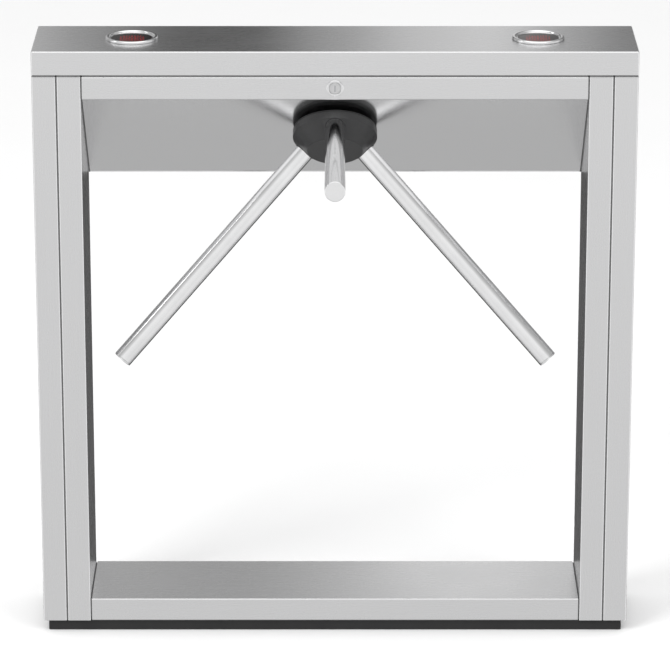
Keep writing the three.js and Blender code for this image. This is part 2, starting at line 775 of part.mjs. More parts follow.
function addSolenoids() {
  for (const [side, sign] of SIDES) {
    const span = (near, far) => (sign > 0 ? [near, far] : [-far, -near]);
    const frame = joined(
      block(...span(78, 118), PLUNGER_Y - 18, PLUNGER_Y + 18, PLUNGER_Z - 15, PLUNGER_Z + 15),
      block(...span(84, 112), PLUNGER_Y - 12, PLUNGER_Y + 12, PLUNGER_Z, ON_PLATE),
    );
    const bore = barAlongX(5 + GAP, ...span(70, 114), PLUNGER_Y, PLUNGER_Z, 24);
    add(rotor, `solenoid_${side}`, cut(frame, bore), zincSteel);
    const plunger = joined(
      barAlongX(5, ...span(74, 112), PLUNGER_Y, PLUNGER_Z, 24),
      barAlongX(2.5, ...span(67.8, 75), PLUNGER_Y, PLUNGER_Z, 16),
    );
    add(rotor, `plunger_${side}`, plunger, plainSteel);
  }
}

// ---------------------------------------------------------------- electronics on the hood

// A frame on the hood's outer face: its +Z is the hood's outward normal.
const hoodFrame = new THREE.Group();
hoodFrame.position.set(0, 0, hoodZ(0));
hoodFrame.rotation.x = Math.PI / 2 + Math.atan2(1, HOOD_SLOPE);
turnstile.add(hoodFrame);

const HOOD_INSIDE = -SHEET - GAP;

function addElectronics() {
  const board = block(-390, -230, -60, 40, -13.6, -12);
  const standoffs = [[-382, -52], [-238, -52], [-382, 32], [-238, 32]].map(([x, y]) => {
    return bar(3, -12.5, HOOD_INSIDE, 12).translate(x, y, 0);
  });
  const connectors = [-375, -345, -315, -285].map((x) => block(x, x + 22, 24, 38, -24, -13));
  const chips = [
    block(-350, -322, -20, 8, -16, -13),
    block(-300, -260, -46, -20, -30, -13),
    block(-375, -360, -45, -10, -22, -13),
  ];
  add(hoodFrame, 'control_board', joined(board, ...standoffs, ...connectors, ...chips), greenBoard);
  add(hoodFrame, 'power_supply',
    joined(block(215, 375, -58, 38, -40, HOOD_INSIDE), block(375, 385, -58, 38, -4, HOOD_INSIDE)),
    greyPaint);
  add(hoodFrame, 'counter_module', block(-208, -150, -40, 18, -38, HOOD_INSIDE), blackPlastic);
}

// ---------------------------------------------------------------- assembly

addPlinth();
addBaseSill();
addLegs();
addHeaderRail();
addHood();
addBackCover();
addLid();
addDisplays();
addLidHinges();
addLock();
addStriker();
addHubFront();
addHubRear();
addArmCarrier();
addArms();
addShaft();
addBearings();
addMechanismPlate();
addLockDisc();
addDamper();
addEncoder();
addPawls();
addSolenoids();
addElectronics();

export default turnstile;
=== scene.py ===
import math

import bmesh
import bpy
from mathutils import Matrix, Vector
from mathutils.geometry import tessellate_polygon


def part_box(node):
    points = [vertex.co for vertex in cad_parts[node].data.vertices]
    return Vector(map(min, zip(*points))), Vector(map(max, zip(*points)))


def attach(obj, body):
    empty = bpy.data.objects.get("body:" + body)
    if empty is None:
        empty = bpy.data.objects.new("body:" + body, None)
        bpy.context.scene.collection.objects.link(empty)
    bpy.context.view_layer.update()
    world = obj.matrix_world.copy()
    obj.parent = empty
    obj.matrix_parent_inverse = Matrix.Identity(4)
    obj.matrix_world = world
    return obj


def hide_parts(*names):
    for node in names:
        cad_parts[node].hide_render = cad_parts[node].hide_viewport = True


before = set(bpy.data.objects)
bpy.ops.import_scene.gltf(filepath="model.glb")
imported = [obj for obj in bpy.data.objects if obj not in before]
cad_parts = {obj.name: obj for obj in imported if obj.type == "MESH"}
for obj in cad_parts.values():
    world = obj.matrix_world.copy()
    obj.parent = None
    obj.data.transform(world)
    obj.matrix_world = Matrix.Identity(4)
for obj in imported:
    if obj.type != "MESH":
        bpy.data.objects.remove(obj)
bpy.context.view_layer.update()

# ---- sizes, in millimetres

MM = 0.001
GAP = 0.3  # clearance between pieces that touch
SHEET = 1.5
BEND = 2.2  # outer radius of a folded edge
LENS_RADIUS = 33.7
BEZEL_NECK = 37.7
ARM_RADIUS = 16.0
ARM_WALL = 2.5
ARM_CAP = 3.0  # thickness of the plate that closes an arm
ARMS_MEET = -11.7  # where the three arm axes meet, along the rotor axis
ARM_LENGTH = 541.0  # from that point to the tip
ARM_ROOT = 56.0
ARM_CONE = math.radians(49.7)
ROTOR_TILT = math.radians(46.95)
HUB_RADIUS = 70.3
HUB_PARTING = 14.0  # the hub's joint, face and back, along the rotor axis
HUB_FACE = 52.0
HUB_BACK = 8.4

UP = Vector((0, 0, 1))
X_AXIS = Vector((1, 0, 0))
STILL = Matrix.Identity(4)
# Matrices that lay a prism's own Z along a world axis.
ALONG_X = Matrix(((0, 0, 1, 0), (1, 0, 0, 0), (0, 1, 0, 0), (0, 0, 0, 1)))
ALONG_Y = Matrix(((1, 0, 0, 0), (0, 0, -1, 0), (0, 1, 0, 0), (0, 0, 0, 1)))
TOWARDS_BACK = Matrix.Rotation(-math.pi / 2, 4, "X")  # lays +Z along +Y
TURNED_OVER = Matrix.Rotation(math.pi, 4, "X")


def node_box(name):
    low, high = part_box(name)
    return Vector(low) / MM, Vector(high) / MM


ROTOR_CENTRE = Vector((0, -17.7, 883.5))
ROTOR = Matrix.Translation(ROTOR_CENTRE) @ Matrix.Rotation(math.pi / 2 + ROTOR_TILT, 4, "X")
ARMS = {"front": 90, "left": 210, "right": 330}
SIDES = {"left": -1, "right": 1}


def in_metres(matrix):
    """The same move, given in millimetres, for a mesh that is already in metres."""
    return Matrix.Scale(MM, 4) @ matrix @ Matrix.Scale(1 / MM, 4)


def arm_in_rotor(degrees):
    turn = Matrix.Rotation(math.radians(degrees), 4, "Z") @ Matrix.Rotation(ARM_CONE, 4, "Y")
    return Matrix.Translation((0, 0, ARMS_MEET)) @ turn


def arm_frame(degrees):
    return ROTOR @ arm_in_rotor(degrees)


# ---- material nodes


class Nodes:
    """A short way to build the node tree of a material or of the world."""

    def __init__(self, owner):
        owner.use_nodes = True
        self.tree = owner.node_tree
        self.tree.nodes.clear()

    def link(self, source, target):
        self.tree.links.new(source, target)

    def node(self, kind, **settings):
        made = self.tree.nodes.new(kind)
        for name, value in settings.items():
            setattr(made, name, value)
        return made

    def feed(self, socket, value):
        """Links a socket to a source, or sets its number or colour."""
        if isinstance(value, bpy.types.NodeSocket):
            self.link(value, socket)
        elif isinstance(value, (tuple, list)):
            socket.default_value = (*value[:3], 1)
        else:
            socket.default_value = value

    def split(self, kind):
        """The X, Y and Z of a texture coordinate, by name."""
        parts = self.node("ShaderNodeSeparateXYZ")
        self.link(self.node("ShaderNodeTexCoord").outputs[kind], parts.inputs[0])
        return parts.outputs

    def coordinates(self, kind, scale, turn=(0, 0, 0)):
        source = self.node("ShaderNodeTexCoord")
        mapping = self.node("ShaderNodeMapping")
        mapping.inputs["Scale"].default_value = scale
        mapping.inputs["Rotation"].default_value = turn
        self.link(source.outputs[kind], mapping.inputs["Vector"])
        return mapping.outputs[0]

    def noise(self, kind, scale, detail=3.0, rough=0.55, distortion=0.0):
        texture = self.node("ShaderNodeTexNoise")
        texture.inputs["Scale"].default_value = 1.0
        texture.inputs["Detail"].default_value = detail
        texture.inputs["Roughness"].default_value = rough
        texture.inputs["Distortion"].default_value = distortion
        scale = (scale, scale, scale) if isinstance(scale, (int, float)) else scale
        self.link(self.coordinates(kind, scale), texture.inputs["Vector"])
        return texture.outputs["Fac"]

    def spread(self, source, low, high, at=(0.3, 0.7)):
        ramp = self.node("ShaderNodeMapRange")
        ramp.inputs["From Min"].default_value = at[0]
        ramp.inputs["From Max"].default_value = at[1]
        ramp.inputs["To Min"].default_value = low
        ramp.inputs["To Max"].default_value = high
        self.link(source, ramp.inputs["Value"])
        return ramp.outputs["Result"]

    def maths(self, operation, *values):
        made = self.node("ShaderNodeMath", operation=operation)
        for socket, value in zip(made.inputs, values):
            self.feed(socket, value)
        return made.outputs[0]

    def mix(self, factor, first, second):
        made = self.node("ShaderNodeMix", data_type="RGBA")
        for name, value in (("Factor", factor), ("A", first), ("B", second)):
            self.feed(next(s for s in made.inputs if s.name == name and s.enabled), value)
        return next(s for s in made.outputs if s.enabled)

    def ramp(self, source, stops, low=0.0, high=1.0, interpolation="LINEAR"):
        """Grey levels along a value; each stop is (value, brightness)."""
        made = self.node("ShaderNodeValToRGB")
        self.link(self.spread(source, 0, 1, (low, high)), made.inputs["Fac"])
        points = made.color_ramp.elements
        while len(points) > 1:
            points.remove(points[-1])
        for index, (at, value) in enumerate(stops):
            at = (at - low) / (high - low)
            point = points[0] if index == 0 else points.new(at)
            point.position = at
            point.color = (value, value, value, 1)
        made.color_ramp.interpolation = interpolation
        return made.outputs["Color"]


class Surface(Nodes):
    """A material with one Principled shader."""

    def __init__(self, name):
        self.material = bpy.data.materials.new(name)
        super().__init__(self.material)
        self.shader = self.node("ShaderNodeBsdfPrincipled")
        self.link(self.shader.outputs[0], self.node("ShaderNodeOutputMaterial").inputs[0])

    def set(self, **values):
        for name, value in values.items():
            self.feed(self.shader.inputs[name.replace("_", " ")], value)

    def bump(self, height, strength, distance):
        made = self.node("ShaderNodeBump")
        made.inputs["Strength"].default_value = strength
        made.inputs["Distance"].default_value = distance
        self.link(height, made.inputs["Height"])
        self.link(made.outputs[0], self.shader.inputs["Normal"])

    def wear(self, low, high):
        """White along sharp outer edges."""
        geometry = self.node("ShaderNodeNewGeometry")
        return self.spread(geometry.outputs["Pointiness"], 0, 1, (low, high))


def brushed_steel(name, tone, roughness, along=(14, 2400), contrast=0.3, anisotropy=0.2):
    """Satin steel whose grain runs along U."""
    m = Surface(name)
    fine = m.noise("UV", (*along, 1), 4, 0.6)
    bands = m.noise("UV", (2, 160, 1), 3, 0.5)
    clouds = m.noise("Object", 9, 4, 0.6)
    grain = m.maths("ADD", m.maths("MULTIPLY", fine, 0.85), m.maths("MULTIPLY", bands, 0.15))
    dark = tuple(c * (1 - 0.10 * contrast) for c in tone)
    light = tuple(min(1, c * (1 + 0.06 * contrast)) for c in tone)
    m.set(Base_Color=m.mix(m.spread(grain, 0, 1), dark, light))
    scuffed = m.maths("ADD", m.spread(grain, -0.02, 0.02), m.spread(clouds, -0.012, 0.018))
    tangent = m.node("ShaderNodeTangent", direction_type="UV_MAP", uv_map="grain")
    m.set(Roughness=m.maths("ADD", scuffed, roughness), Tangent=tangent.outputs[0])
    m.set(Metallic=1.0, Anisotropic=anisotropy)
    m.bump(fine, 0.08 * contrast, 0.00012)
    return m.material


def polished_metal(name, tone, roughness, scratches):
    m = Surface(name)
    smudges = m.noise("Object", 22, 4, 0.6)
    hairs = m.noise("Object", (60, 900, 900), 3, 0.6, 0.6)
    dark = tuple(c * 0.93 for c in tone)
    m.set(Base_Color=m.mix(m.spread(smudges, 0, 1), dark, tone))
    rough = m.maths("ADD", m.spread(smudges, -0.015, 0.03), m.spread(hairs, 0, 0.03 * scratches))
    m.set(Roughness=m.maths("ADD", rough, roughness), Metallic=1.0)
    m.bump(hairs, 0.03 * scratches, 0.00005)
    return m.material


def rough_metal(name, tone, other, roughness, size=350, strength=0.3, depth=0.0001):
    """Cast, plated or machined metal with a mottled surface."""
    m = Surface(name)
    mottle = m.noise("Object", size / 8, 5, 0.65)
    grit = m.noise("Object", size, 3, 0.6)
    m.set(Base_Color=m.mix(m.spread(mottle, 0, 1), tone, other))
    rough = m.maths("ADD", m.spread(mottle, -0.08, 0.08), m.spread(grit, -0.04, 0.04))
    m.set(Roughness=m.maths("ADD", rough, roughness), Metallic=1.0)
    m.bump(grit, strength, depth)
    return m.material


def plastic(name, tone, worn, roughness, size=900, strength=0.25, depth=0.0001, gloss=0.5):
    """Moulded plastic or paint with a fine grain, lighter along its edges."""
    m = Surface(name)
    grit = m.noise("Object", size, 3, 0.6)
    clouds = m.noise("Object", size / 40, 4, 0.6)
    cloudy = m.mix(m.spread(clouds, 0, 1), tone, tuple(0.7 * a + 0.3 * b for a, b in zip(tone, worn)))
    rubbed = m.maths("MULTIPLY", m.wear(0.52, 0.6), m.spread(clouds, 0.2, 0.9))
    m.set(Base_Color=m.mix(rubbed, cloudy, worn))
    rough = m.maths("ADD", m.spread(clouds, -0.05, 0.06), m.spread(grit, -0.04, 0.04))
    m.set(Roughness=m.maths("ADD", rough, roughness), Specular_IOR_Level=gloss)
    m.bump(grit, strength, depth)
    return m.material


def smoked_lens():
    m = Surface("display_glass")
    smudges = m.noise("Object", 60, 4, 0.6)
    m.set(Base_Color=m.mix(m.spread(smudges, 0, 1), (0.10, 0.055, 0.055), (0.13, 0.075, 0.075)))
    m.set(Roughness=m.spread(smudges, 0.01, 0.045))
    m.set(Transmission_Weight=1.0, IOR=1.45)
    return m.material


def led_lamp():
    m = Surface("led_lamp")
    clouds = m.noise("Object", 400, 2)
    m.set(Base_Color=m.mix(m.spread(clouds, 0, 1), (0.55, 0.02, 0.02), (0.75, 0.05, 0.04)))
    m.set(Roughness=m.spread(clouds, 0.2, 0.35))
    m.set(Emission_Color=(1.0, 0.05, 0.04), Emission_Strength=1.6)
    return m.material


def circuit_green():
    m = Surface("circuit_board")
    tracks = m.node("ShaderNodeTexBrick")
    tracks.inputs["Scale"].default_value = 160
    tracks.inputs["Mortar Size"].default_value = 0.012
    tracks.inputs["Color1"].default_value = (0.012, 0.085, 0.035, 1)
    tracks.inputs["Color2"].default_value = (0.016, 0.10, 0.045, 1)
    tracks.inputs["Mortar"].default_value = (0.03, 0.20, 0.08, 1)
    m.link(m.coordinates("Object", (1, 1, 1)), tracks.inputs["Vector"])
    clouds = m.noise("Object", 70, 4)
    m.set(Base_Color=m.mix(m.spread(clouds, 0, 0.35), tracks.outputs["Color"], (0.008, 0.05, 0.02)))
    m.set(Roughness=m.spread(clouds, 0.28, 0.42))
    m.bump(tracks.outputs["Fac"], 0.3, 0.00005)
    return m.material


STEEL = (0.78, 0.78, 0.785)
FINISH = {
    "panel": brushed_steel("brushed_panel", STEEL, 0.27),
    "hood": brushed_steel("hood_panel_steel", STEEL, 0.16, anisotropy=0.0),
    "chrome": polished_metal("polished_steel", (0.88, 0.88, 0.885), 0.085, 0.2),
    "ring": polished_metal("lock_chrome", (0.86, 0.86, 0.865), 0.05, 0.3),
    "satin": brushed_steel("satin_plug", (0.70, 0.70, 0.705), 0.24, (20, 1500)),
    "machined": rough_metal("machined_steel", (0.50, 0.51, 0.52), (0.62, 0.63, 0.64), 0.32, 500, 0.15),
    "zinc": rough_metal("zinc_steel", (0.62, 0.60, 0.47), (0.70, 0.69, 0.60), 0.36, 260, 0.2),
    "cast": rough_metal("cast_aluminium", (0.55, 0.56, 0.57), (0.68, 0.69, 0.70), 0.5, 600, 0.5, 0.0002),
    "brass": rough_metal("brass", (0.66, 0.50, 0.22), (0.76, 0.60, 0.30), 0.3, 300, 0.15),
    "copper": rough_metal("copper_winding", (0.72, 0.30, 0.14), (0.80, 0.38, 0.20), 0.35, 300, 0.2),
    "hub": plastic("hub_plastic", (0.026, 0.026, 0.0265), (0.045, 0.045, 0.046), 0.33, 1300, 0.10, 0.00006,
                   gloss=0.25),
    "black": plastic("black_plastic", (0.018, 0.018, 0.019), (0.07, 0.07, 0.07), 0.42),
    "paint": plastic("plinth_paint", (0.008, 0.008, 0.0085), (0.03, 0.03, 0.03), 0.7, 500, 0.35, 0.0002),
    "grey": plastic("grey_paint", (0.27, 0.29, 0.30), (0.45, 0.46, 0.46), 0.5, 450, 0.3, 0.0002),
    "acetal": plastic("gear_plastic", (0.74, 0.73, 0.68), (0.86, 0.85, 0.82), 0.4, 700, 0.15),
    "seal": plastic("lid_seal", (0.13, 0.13, 0.133), (0.17, 0.17, 0.17), 0.6, 700, 0.3),
    # The seam strips' dark grey is partly the colour of a joint backing and partly painted shade for the
    # grooves between the panels.
    "seam_shade": plastic("seam_strip", (0.10, 0.10, 0.102), (0.14, 0.14, 0.14), 0.7, 700, 0.4),
    "enamel": plastic("display_mask", (0.004, 0.004, 0.0045), (0.01, 0.01, 0.01), 0.3, 900, 0.08),
    "glass": smoked_lens(),
    "led": led_lamp(),
    "board": circuit_green(),
}

# ---- mesh tools


def rounded(points, segments=5):
    """The outline through (x, y, radius) corners, with an arc at each corner that has a radius."""
    out = []
    count = len(points)
    for i, point in enumerate(points):
        corner = Vector(point[:2])
        radius = point[2] if len(point) > 2 else 0
        if radius <= 0:
            out.append(corner)
            continue
        back = (Vector(points[i - 1][:2]) - corner).normalized()
        ahead = (Vector(points[(i + 1) % count][:2]) - corner).normalized()
        half = back.angle(ahead) / 2
        centre = corner + (back + ahead).normalized() * radius / math.sin(half)
        first = corner + back * radius / math.tan(half) - centre
        last = corner + ahead * radius / math.tan(half) - centre
        turn = math.atan2(first.x * last.y - first.y * last.x, first.dot(last))
        for step in range(segments + 1):
            a = turn * step / segments
            arm = Vector((first.x * math.cos(a) - first.y * math.sin(a),
                          first.x * math.sin(a) + first.y * math.cos(a)))
            out.append(centre + arm)
    return out


def rectangle(x0, x1, y0, y1, radius=0.0, segments=5):
    corners = [(x0, y0, radius), (x1, y0, radius), (x1, y1, radius), (x0, y1, radius)]
    return rounded(corners, segments)


def circle(radius, count=64, x=0.0, y=0.0, start=0.0):
    return [Vector((x + radius * math.cos(start + 2 * math.pi * i / count),
                    y + radius * math.sin(start + 2 * math.pi * i / count))) for i in range(count)]


def in_scene(name, data):
    made = bpy.data.objects.new(name, data)
    bpy.context.scene.collection.objects.link(made)
    return made


def from_bmesh(name, bm):
    mesh = bpy.data.meshes.new(name)
    bm.to_mesh(mesh)
    bm.free()
    return in_scene(name, mesh)


def discard(obj):
    mesh = obj.data
    bpy.data.objects.remove(obj)
    bpy.data.meshes.remove(mesh)


def mesh_object(name, bm, matrix=STILL):
    bmesh.ops.remove_doubles(bm, verts=bm.verts, dist=1e-4)
    # Normals are found in millimetres, because the faces are too small for it in metres.
    bmesh.ops.recalc_face_normals(bm, faces=bm.faces)
    if bm.calc_volume(signed=True) < 0:
        bmesh.ops.reverse_faces(bm, faces=bm.faces)
    bm.transform(Matrix.Scale(MM, 4) @ matrix)
    if matrix.determinant() < 0:
        bmesh.ops.reverse_faces(bm, faces=bm.faces)
    return from_bmesh(name, bm)


def prism(name, loops, z0, z1, matrix=STILL):
    """Extrudes an outline, with the holes in the further loops, along its own Z."""
    bm = bmesh.new()
    ends = []
    for z in (z0, z1):
        ends.append([[bm.verts.new((p.x, p.y, z)) for p in loop] for loop in loops])
    for low, high in zip(*ends):
        for i in range(len(low)):
            j = (i + 1) % len(low)
            bm.faces.new((low[i], low[j], high[j], high[i]))
    flat = [[Vector((p.x, p.y, 0)) for p in loop] for loop in loops]
    for end in ends:
        corners = [v for loop in end for v in loop]
        if len(loops) == 1:
            bm.faces.new(corners)
            continue
        for triangle in tessellate_polygon(flat):
            bm.faces.new([corners[i] for i in triangle])
    return mesh_object(name, bm, matrix)


def lathe(name, profile, matrix=STILL, count=96):
    """Turns a closed outline of (radius, height) about Z."""
    bm = bmesh.new()
    rings = []
    for point in profile:
        radius, z = point[0], point[1]
        if radius < 1e-6:
            rings.append([bm.verts.new((0, 0, z))])
            continue
        rings.append([bm.verts.new((radius * math.cos(2 * math.pi * i / count),
                                    radius * math.sin(2 * math.pi * i / count), z))
                      for i in range(count)])
    for here, there in zip(rings, rings[1:] + rings[:1]):
        if len(here) == 1 and len(there) == 1:
            continue
        for i in range(count):
            j = (i + 1) % count
            corners = [ring[k % len(ring)] for ring, k in ((here, i), (here, j), (there, j), (there, i))]
            bm.faces.new(list(dict.fromkeys(corners)))
    return mesh_object(name, bm, matrix)


def box_mesh(name, x0, x1, y0, y1, z0, z1, matrix=STILL):
    return prism(name, [rectangle(x0, x1, y0, y1)], z0, z1, matrix)


def bake(obj):
    """Applies the object's modifiers."""
    graph = bpy.context.evaluated_depsgraph_get()
    graph.update()
    mesh = bpy.data.meshes.new_from_object(obj.evaluated_get(graph))
    old = obj.data
    obj.modifiers.clear()
    obj.data = mesh
    bpy.data.meshes.remove(old)
    return obj


def combine(obj, tools, operation="DIFFERENCE"):
    for tool in tools:
        modifier = obj.modifiers.new("cut", "BOOLEAN")
        modifier.operation = operation
        modifier.solver = "EXACT"
        modifier.object = tool
    bake(obj)
    for tool in tools:
        discard(tool)
    return obj


def soften(obj, width=0.4, segments=2, angle=42, clean=True):
    """Rounds the sharp edges and shades the rest smooth."""
    mesh = obj.data
    if clean:
        bm = bmesh.new()
        bm.from_mesh(mesh)
        bmesh.ops.remove_doubles(bm, verts=bm.verts, dist=1e-6)
        bmesh.ops.dissolve_limit(bm, angle_limit=math.radians(0.3), verts=bm.verts, edges=bm.edges)
        bm.to_mesh(mesh)
        bm.free()
    mesh.shade_smooth()
    if width:
        bevel = obj.modifiers.new("edges", "BEVEL")
        bevel.width = width * MM
        bevel.segments = segments
        bevel.limit_method = "ANGLE"
        bevel.angle_limit = math.radians(angle)
        bevel.use_clamp_overlap = True
    normals = obj.modifiers.new("normals", "WEIGHTED_NORMAL")
    normals.weight = 100
    normals.keep_sharp = True
    bake(obj)
    return obj


def grain(obj, axis):
    """Lays a UV map whose U runs along the given axis of the piece, in metres."""
    other = UP if abs(axis.z) < 0.9 else X_AXIS
    mesh = obj.data
    layer = mesh.uv_layers.new(name="grain")
    for face in mesh.polygons:
        along = axis if abs(face.normal.dot(axis)) < 0.9 else other
        along = (along - face.normal * along.dot(face.normal)).normalized()
        across = face.normal.cross(along)
        for corner in face.loop_indices:
            p = mesh.vertices[mesh.loops[corner].vertex_index].co
            layer.data[corner].uv = (p.dot(along), p.dot(across))
    return obj


def place(obj, body, finish, *nodes):
    """Gives a piece its body and its finish, and hides the CAD nodes that it stands for."""
    obj.data.materials.clear()
    obj.data.materials.append(FINISH[finish])
    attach(obj, body)
    if nodes:
        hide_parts(*nodes)
    return obj


# ---- cabinet


def make_plinth():
    low, high = node_box("plinth")
    body = prism("plinth_block", [rectangle(low.x, high.x, low.y, high.y, 2.5)], low.z, high.z)
    place(soften(body, 1.2, 3), "cabinet", "paint", "plinth")


def make_tube(name, node, axis, wall):
    """A folded sheet tube with rounded long edges, open at both ends."""
    low, high = node_box(node)
    if axis == "Z":
        outer = rectangle(low.x, high.x, low.y, high.y, BEND, 6)
        inner = rectangle(low.x + wall, high.x - wall, low.y + wall, high.y - wall, 0.8, 6)
        tube = prism(name, [outer, inner], low.z, high.z)
        direction = UP
    else:
        outer = rectangle(low.y, high.y, low.z, high.z, BEND, 6)
        inner = rectangle(low.y + wall, high.y - wall, low.z + wall, high.z - wall, 0.8, 6)
        tube = prism(name, [outer, inner], low.x, high.x, ALONG_X)
        direction = X_AXIS
    soften(tube, 0.3, 2)
    place(grain(tube, direction), "cabinet", "panel", node)


def sheet_section(name, points, x0, x1):
    """Folded sheet that runs along X; its section is in (y, z)."""
    return prism(name, [rounded(points, 5)], x0, x1, ALONG_X)


def make_rail():
    low, high = node_box("header_front_rail")
    y0, y1, z0, z1 = low.y, high.y, low.z, high.z
    section = [
        (y0, z0, BEND), (y1, z0), (y1, z0 + SHEET), (y0 + SHEET, z0 + SHEET, 0.6),
        (y0 + SHEET, z1 - SHEET, 0.6), (y1, z1 - SHEET), (y1, z1), (y0, z1, BEND),
    ]
    rail = sheet_section("front_rail", section, low.x, high.x)
    lock_low, lock_high = node_box("lock_housing")
    lock_z = (lock_low.z + lock_high.z) / 2
    hole = prism("rail_hole", [circle(13.3, 64, 0, lock_z)], -y0 - 3, -y0 + 3, ALONG_Y)
    combine(rail, [hole])
    soften(rail, 0.3, 2)
    place(grain(rail, X_AXIS), "cabinet", "panel", "header_front_rail")


def hood_slope():
    """The hood's slope, and the height of its outer face at depth y."""
    low, high = node_box("hood_panel")
    rail_low, _ = node_box("header_front_rail")
    slope = (rail_low.z - low.z) / (high.y - low.y)
    return slope, lambda y: rail_low.z - (y - low.y) * slope


def make_hood():
    low, high = node_box("hood_panel")
    front_y, back_y = low.y, high.y
    slope, height = hood_slope()
    rise = SHEET * math.hypot(1, slope)
    section = [
        (front_y, high.z), (front_y, height(front_y), BEND), (back_y, height(back_y), BEND),
        (back_y, height(back_y) + 20), (back_y - SHEET, height(back_y) + 20),
        (back_y - SHEET, height(back_y - SHEET) + rise, 0.7),
        (front_y + SHEET, height(front_y + SHEET) + rise, 0.7), (front_y + SHEET, high.z),
    ]
    hood = sheet_section("mechanism_hood", section, low.x, high.x)
    hole = prism("hood_hole", [circle(28, 72)], -40, 40, ROTOR)
    combine(hood, [hole])
    soften(hood, 0.3, 2)
    place(grain(hood, X_AXIS), "cabinet", "hood", "hood_panel")


def screw(name, matrix, radius=4.5, height=2.0, finish="ring", body="cabinet"):
    """A low domed screw head with a hexagon socket, its top along +Z."""
    profile = [(0, 0), (radius, 0)]
    profile += [(radius * math.cos(a), height * (0.25 + 0.75 * math.sin(a)))
                for a in (math.pi / 2 * i / 8 for i in range(8))]
    profile += [(0, height)]
    head = lathe(name, profile, STILL, 40)
    socket = prism("socket", [circle(radius * 0.5, 6)], height * 0.35, height + 1)
    combine(head, [socket])
    soften(head, 0.12, 1)
    head.data.transform(in_metres(matrix))
    return place(head, body, finish)


def make_back_cover():
    low, high = node_box("back_cover")
    y0, y1, z0, z1 = low.y, high.y, low.z, high.z
    section = [
        (y1, z0, 0.4), (y1, z1, BEND), (y0, z1), (y0, z1 - SHEET),
        (y1 - SHEET, z1 - SHEET, 0.6), (y1 - SHEET, z0),
    ]
    cover = sheet_section("rear_cover", section, low.x, high.x)
    soften(cover, 0.3, 2)
    place(grain(cover, X_AXIS), "cabinet", "panel", "back_cover")
    for row, z in enumerate((z0 + 16, z1 - 50)):
        for column, share in enumerate((-0.94, -0.32, 0.32, 0.94)):
            spot = Matrix.Translation((high.x * share, y1 + 0.05, z))
            screw(f"cover_screw_{row}_{column}", spot @ TOWARDS_BACK)


def make_seams():
    """Strips set back in the shadow grooves between the panels; their dark grey is partly a backing in the
    joints and partly painted shade that stands in for the shade of the open gaps.
    """
    outer_low, outer_high = node_box("leg_outer_right")
    inner_low, inner_high = node_box("leg_inner_right")
    rail_low, rail_high = node_box("header_front_rail")
    sill_low, sill_high = node_box("base_sill")
    cover_low, cover_high = node_box("back_cover")
    lap = 0.4  # how far a strip runs in behind the panels beside it
    reach = 87.6  # just short of the panels' front and back faces
    face, deep = 87.8, 84.5
    beside = inner_low.x + lap
    strips = {
        "seam_leg": (inner_high.x - lap, outer_low.x + lap, -reach, reach, outer_low.z, outer_high.z),
        "seam_sill": (sill_high.x - lap, beside, -reach, reach, sill_low.z + SHEET, sill_high.z - BEND),
        "seam_rail": (rail_high.x - lap, beside, -face, -deep, rail_low.z + 0.8, rail_high.z),
        "seam_cover": (cover_high.x - lap, beside, deep, face, cover_low.z + 0.8, cover_high.z),
    }
    _, height = hood_slope()
    slope = [(y, height(y) + rise) for y, rise in ((-83, 0.9), (87, 0.9), (87, 4), (-83, 4))]
    for side, sign in SIDES.items():
        for name, (x0, x1, y0, y1, z0, z1) in strips.items():
            a, b = sorted((sign * x0, sign * x1))
            strip = box_mesh(f"{name}_{side}", a, b, y0, y1, z0, z1)
            place(soften(strip, 0.2, 1), "cabinet", "seam_shade")
        a, b = sorted((sign * (rail_high.x - lap), sign * beside))
        strip = sheet_section(f"seam_hood_{side}", slope, a, b)
        place(soften(strip, 0.2, 1), "cabinet", "seam_shade")


def make_lid_seal():
    """A grey seal that the lid closes on, open where it crosses the shadow grooves."""
    low, high = node_box("lid")
    _, leg_high = node_box("leg_outer_left")
    outer_low, _ = node_box("leg_outer_right")
    inner_low, inner_high = node_box("leg_inner_right")
    bottom, top = leg_high.z + 0.05, low.z - 0.35
    inset = 1.3
    depth = 3.0
    spans = [(-outer_low.x - 0.3, -high.x + inset), (-inner_high.x + 0.3, -inner_low.x - 0.3),
             (-inner_low.x + 2.3, inner_low.x - 2.3), (inner_low.x + 0.3, inner_high.x - 0.3),
             (outer_low.x + 0.3, high.x - inset)]
    for row, y in (("front", low.y + inset), ("back", high.y - inset - depth)):
        for index, (x0, x1) in enumerate(spans):
            a, b = sorted((x0, x1))
            if row == "back" and index == 2:
                continue
            strip = box_mesh(f"lid_seal_{row}_{index}", a, b, y, y + depth, bottom, top)
            place(soften(strip, 0.5, 3), "cabinet", "seal")
    for side, sign in SIDES.items():
        a, b = sorted((sign * (high.x - inset - depth), sign * (high.x - inset)))
        strip = box_mesh(f"lid_seal_{side}", a, b, low.y + inset + depth + 0.2,
                         high.y - inset - depth - 0.2, bottom, top)
        place(soften(strip, 0.5, 3), "cabinet", "seal")


# ---- lid and displays


def make_lid():
    low, high = node_box("lid")
    shell = prism("lid_shell", [rectangle(low.x, high.x, low.y, high.y)], low.z, high.z)
    bm = bmesh.new()
    bm.from_mesh(shell.data)
    folded = [e for e in bm.edges if max(v.co.z for v in e.verts) > (high.z - 1) * MM]
    bmesh.ops.bevel(bm, geom=folded, offset=BEND * MM, segments=6, profile=0.5, affect="EDGES")
    bm.to_mesh(shell.data)
    bm.free()
    inside = rectangle(low.x + SHEET, high.x - SHEET, low.y + SHEET, high.y - SHEET, 0.7, 3)
    tools = [prism("lid_inside", [inside], low.z - 5, high.z - SHEET)]
    for side in SIDES:
        b_low, b_high = node_box(f"display_bezel_{side}")
        centre = (b_low + b_high) / 2
        tools.append(prism("lid_hole", [circle(BEZEL_NECK + GAP, 96, centre.x, centre.y)], low.z, high.z + 5))
    combine(shell, tools)
    soften(shell, 0.3, 2)
    place(grain(shell, X_AXIS), "lid", "panel", "lid")


